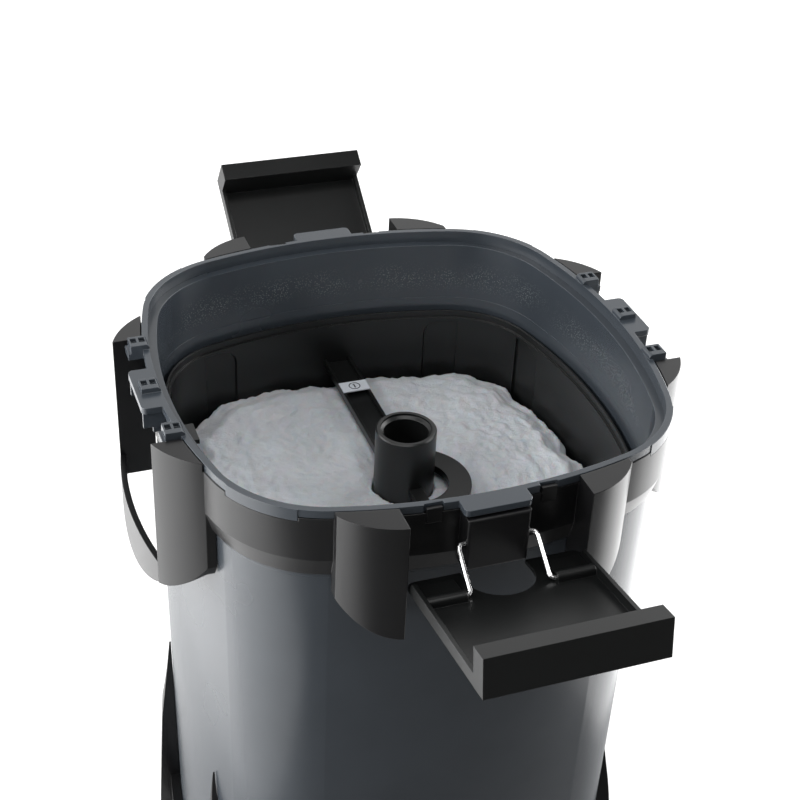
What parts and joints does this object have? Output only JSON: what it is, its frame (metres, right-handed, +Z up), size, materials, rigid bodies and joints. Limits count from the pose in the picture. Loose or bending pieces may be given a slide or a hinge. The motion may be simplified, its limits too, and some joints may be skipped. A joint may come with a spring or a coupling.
{
  "type": "canister filter",
  "caption": "Open canister filter body with a lobed carrying frame, wire-bail draw latches, nested lift-out baskets and a floss prefilter.",
  "frame": {"origin": "centre of the base's underside, on the floor", "axes": "+Z up, -Y towards the front latch, +X towards the right carrying strap"},
  "size_m": [0.276, 0.4188, 0.358],
  "materials": {
    "canister_plastic": "satin slate grey",
    "frame_plastic": "satin black",
    "lever_plastic": "satin black",
    "basket_plastic": "satin black",
    "spring_steel": "polished",
    "pad_rubber": "matte",
    "floss_white": "fibrous",
    "sponge_blue": "open foam",
    "media_ceramic": "rough ceramic",
    "plate_white": "smooth"
  },
  "bodies": {
    "canister": {"canister_body": "canister_plastic", "canister_neck": "canister_plastic", "canister_lip": "canister_plastic", "collar_frame": "frame_plastic", "carry_strap_right": "frame_plastic", "carry_strap_left": "frame_plastic", "base_frame": "frame_plastic", "foot_pad_front_left": "pad_rubber", "foot_pad_front_right": "pad_rubber", "foot_pad_rear_left": "pad_rubber", "foot_pad_rear_right": "pad_rubber"},
    "front_bail": {"front_wire_left": "spring_steel", "front_wire_right": "spring_steel"},
    "front_lever": {"front_lever": "lever_plastic"},
    "rear_bail": {"rear_wire_left": "spring_steel", "rear_wire_right": "spring_steel"},
    "rear_lever": {"rear_lever": "lever_plastic"},
    "lower_basket": {"lower_basket": "basket_plastic", "lower_basket_tube": "basket_plastic", "lower_media": "media_ceramic"},
    "middle_basket": {"middle_basket": "basket_plastic", "middle_basket_tube": "basket_plastic", "middle_media": "media_ceramic"},
    "prefilter": {"prefilter_basket": "basket_plastic", "prefilter_grid": "basket_plastic", "lifting_lug": "basket_plastic", "riser_tube": "basket_plastic", "tube_bridge": "basket_plastic", "finger_loop": "basket_plastic", "number_plate": "plate_white", "prefilter_sponge": "sponge_blue", "floss_pad": "floss_white"}
  },
  "joints": [
    {"name": "front_bail_pivot", "type": "hinge", "parent": "canister", "child": "front_bail", "pos_m": [0, -0.131, 0.3225], "axis": [1, 0, 0], "range_deg": [0, 42.2]},
    {"name": "front_lever_pivot", "type": "hinge", "parent": "front_bail", "child": "front_lever", "pos_m": [0, -0.14949, 0.3095], "axis": [1, 0, 0], "range_deg": [-122.9, 0]},
    {"name": "rear_bail_pivot", "type": "hinge", "parent": "canister", "child": "rear_bail", "pos_m": [0, 0.131, 0.3225], "axis": [1, 0, 0], "range_deg": [-28.17, 14.13]},
    {"name": "rear_lever_pivot", "type": "hinge", "parent": "rear_bail", "child": "rear_lever", "pos_m": [0, 0.14579, 0.30541], "axis": [1, 0, 0], "range_deg": [-40.97, 81.93]},
    {"name": "lower_basket_lift", "type": "slide", "parent": "canister", "child": "lower_basket", "axis": [0, 0, 1], "range_m": [0, 0.33]},
    {"name": "middle_basket_lift", "type": "slide", "parent": "lower_basket", "child": "middle_basket", "axis": [0, 0, 1], "range_m": [0, 0.13]},
    {"name": "prefilter_lift", "type": "slide", "parent": "middle_basket", "child": "prefilter", "axis": [0, 0, 1], "range_m": [0, 0.13]}
  ],
  "couplings": [
    {"joint": "front_bail_pivot", "follows": "front_lever_pivot", "ratio": -0.34255},
    {"joint": "rear_bail_pivot", "follows": "rear_lever_pivot", "ratio": -0.34255}
  ]
}
